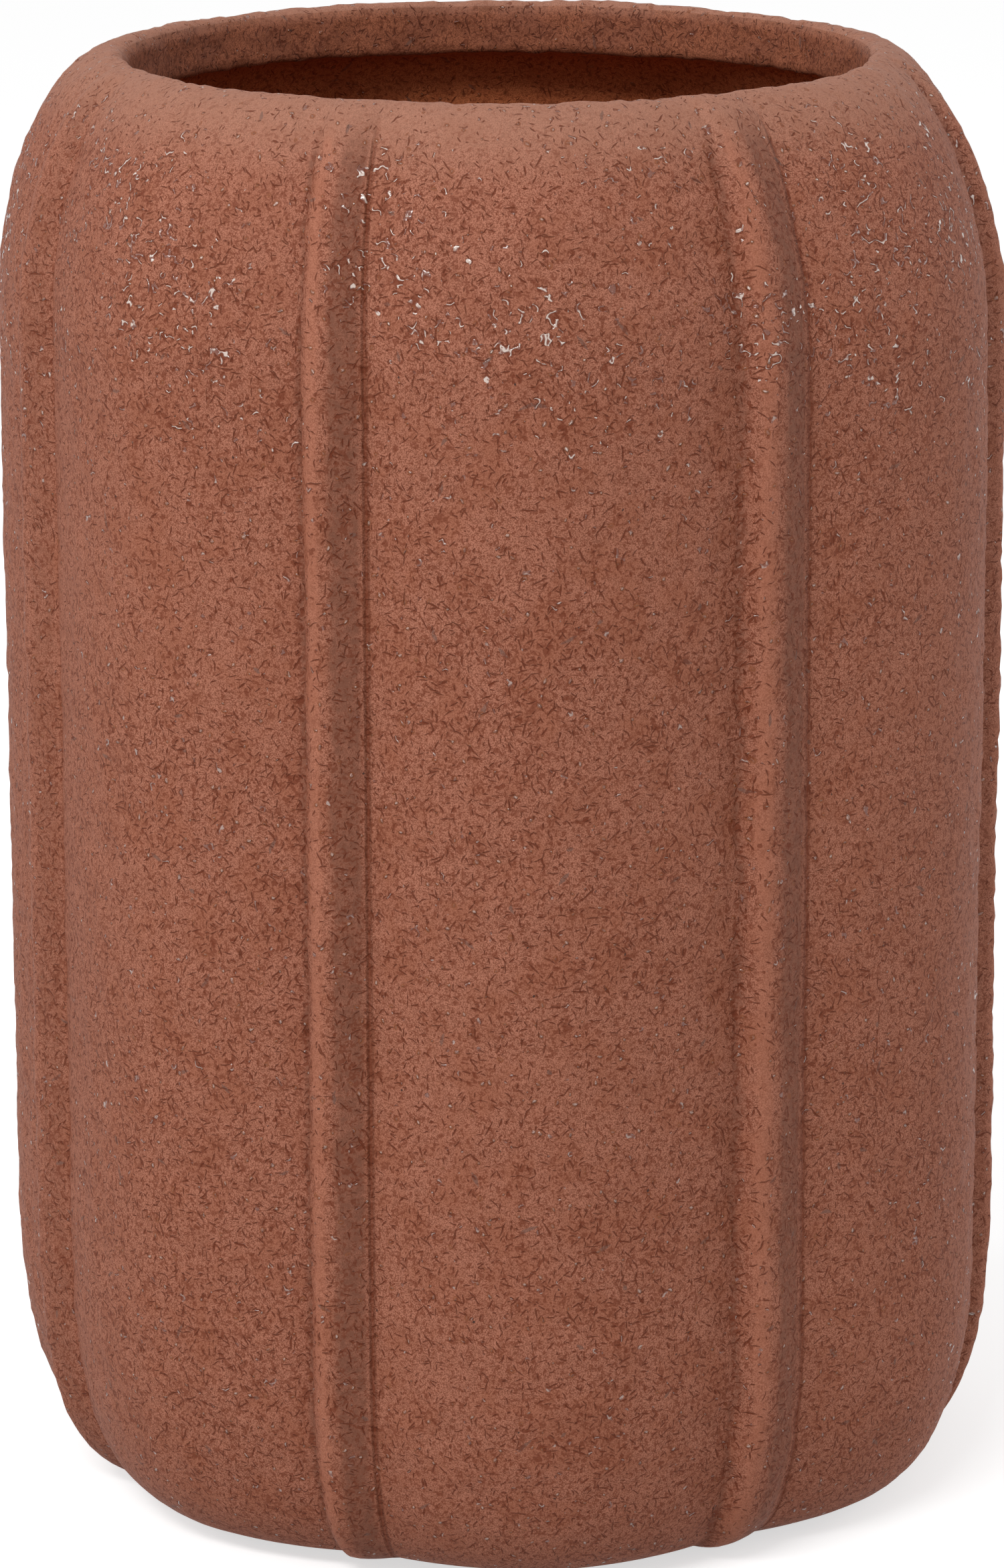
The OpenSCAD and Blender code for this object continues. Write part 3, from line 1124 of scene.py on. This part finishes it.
@dataclass
class Studio:
    """A pale floor, soft light and the camera at the photograph's angle."""

    azimuth: float = math.radians(-7.2)
    elevation: float = math.radians(14.4)
    distance: float = 1.292
    target: Vector = field(default_factory=lambda: Vector((0.0, 0.0, 0.1451)))
    aim_left: float = 0.88 * MM
    roll: float = math.radians(-0.16)
    lens: float = 141.0
    sensor: float = 36.0
    ambient: float = 0.56
    floor_side: float = 30.0
    floor_grey: float = 0.6
    floor_lift: float = 0.62
    lamps: tuple[Lamp, ...] = (
        Lamp("key", -31.0, 41.0, 1.7, 0.9, 0.32, 16.8),
        Lamp("side", -92.0, 24.0, 1.7, 0.24, 0.5, 4.0),
        Lamp("fill", 96.0, 16.0, 2.0, 0.9, 1.4, 8.4),
    )

    def build(self) -> None:
        """Sets up the camera, the lights, the world and the floor."""
        bpy.context.scene.view_settings.view_transform = "Standard"
        self.place_camera()
        self.hang_lights()
        self.light_world()
        self.lay_floor()

    @staticmethod
    def direction(azimuth: float, elevation: float) -> Vector:
        """The way out from the object, at an azimuth from the front and an elevation."""
        flat = math.cos(elevation)
        return Vector((math.sin(azimuth) * flat, -math.cos(azimuth) * flat, math.sin(elevation)))

    def place_camera(self) -> None:
        """Puts the camera where the photograph was taken from."""
        bpy.ops.object.camera_add()
        camera = bpy.context.active_object
        back = self.direction(self.azimuth, self.elevation)
        right = Vector((math.cos(self.azimuth), math.sin(self.azimuth), 0.0))
        camera.location = self.target - right * self.aim_left + back * self.distance
        camera.rotation_mode = "QUATERNION"
        camera.rotation_quaternion = ((-back).to_track_quat("-Z", "Y")
                                      @ Quaternion((0.0, 0.0, 1.0), self.roll))
        camera.data.sensor_width = self.sensor
        camera.data.lens = self.lens
        bpy.context.scene.camera = camera

    def hang_lights(self) -> None:
        """Hangs the lamps, each turned to the object."""
        for lamp in self.lamps:
            bpy.ops.object.light_add(type="AREA")
            light = bpy.context.active_object
            light.name = light.data.name = lamp.name
            away = self.direction(math.radians(lamp.azimuth), math.radians(lamp.elevation))
            light.location = self.target + away * lamp.distance
            light.rotation_mode = "QUATERNION"
            light.rotation_quaternion = (-away).to_track_quat("-Z", "Y")
            light.data.shape = "RECTANGLE"
            light.data.size, light.data.size_y = lamp.width, lamp.height
            light.data.energy = lamp.power

    def light_world(self) -> None:
        """A world that is white to the eye and in reflections, and dimmer as a light."""
        world = bpy.data.worlds.new("studio")
        world.use_nodes = True
        bpy.context.scene.world = world
        g = Graph(world.node_tree)
        seen = self.seen(g)
        strength = seen * (1 - self.ambient) + self.ambient
        light = g.node("ShaderNodeBackground", {}, {"Color": WHITE, "Strength": strength})
        g.add("ShaderNodeOutputWorld", {}, {"Surface": light})

    @staticmethod
    def seen(g: Graph) -> Wire:
        """1 for what the camera sees directly, in a reflection or through glass, else 0."""
        ray = g.node("ShaderNodeLightPath", {}, {}, "Is Camera Ray")
        return g.most(ray, ray.other("Is Glossy Ray"), ray.other("Is Transmission Ray"))

    def lay_floor(self) -> None:
        """Lays a wide pale floor at the ground."""
        Bench.clear()
        bpy.ops.mesh.primitive_plane_add(size=self.floor_side, location=(0.0, 0.0, 0.0))
        floor = bpy.context.active_object
        floor.name = floor.data.name = "floor"
        material, g = new_material("pale_floor")
        grey = (self.floor_grey, self.floor_grey, self.floor_grey, 1.0)
        matt = g.node("ShaderNodeBsdfDiffuse", {}, {"Color": grey})
        lift = {"Color": WHITE, "Strength": self.seen(g) * self.floor_lift}
        both = {0: matt, 1: g.node("ShaderNodeEmission", {}, lift)}
        g.add("ShaderNodeOutputMaterial", {}, {"Surface": g.node("ShaderNodeAddShader", {}, both)})
        floor.data.materials.append(material)


_MADE: dict[Finish, bpy.types.Material] = {}


def material_of(finish: Finish) -> bpy.types.Material:
    """The material of a finish, built the first time that it is asked for."""
    if finish not in _MADE:
        _MADE[finish] = finish.value.material()
    return _MADE[finish]


def main() -> None:
    """Builds every piece and the studio."""
    logging.basicConfig(level=logging.INFO, format="%(name)s: %(message)s")
    pot = Shell()
    for piece in (pot.build(), Bung(pot.floor_z).build(), *Pads().build()):
        log.info("%s: %d faces", piece.name, len(piece.data.polygons))
    Studio().build()


if __name__ == "__main__":
    main()
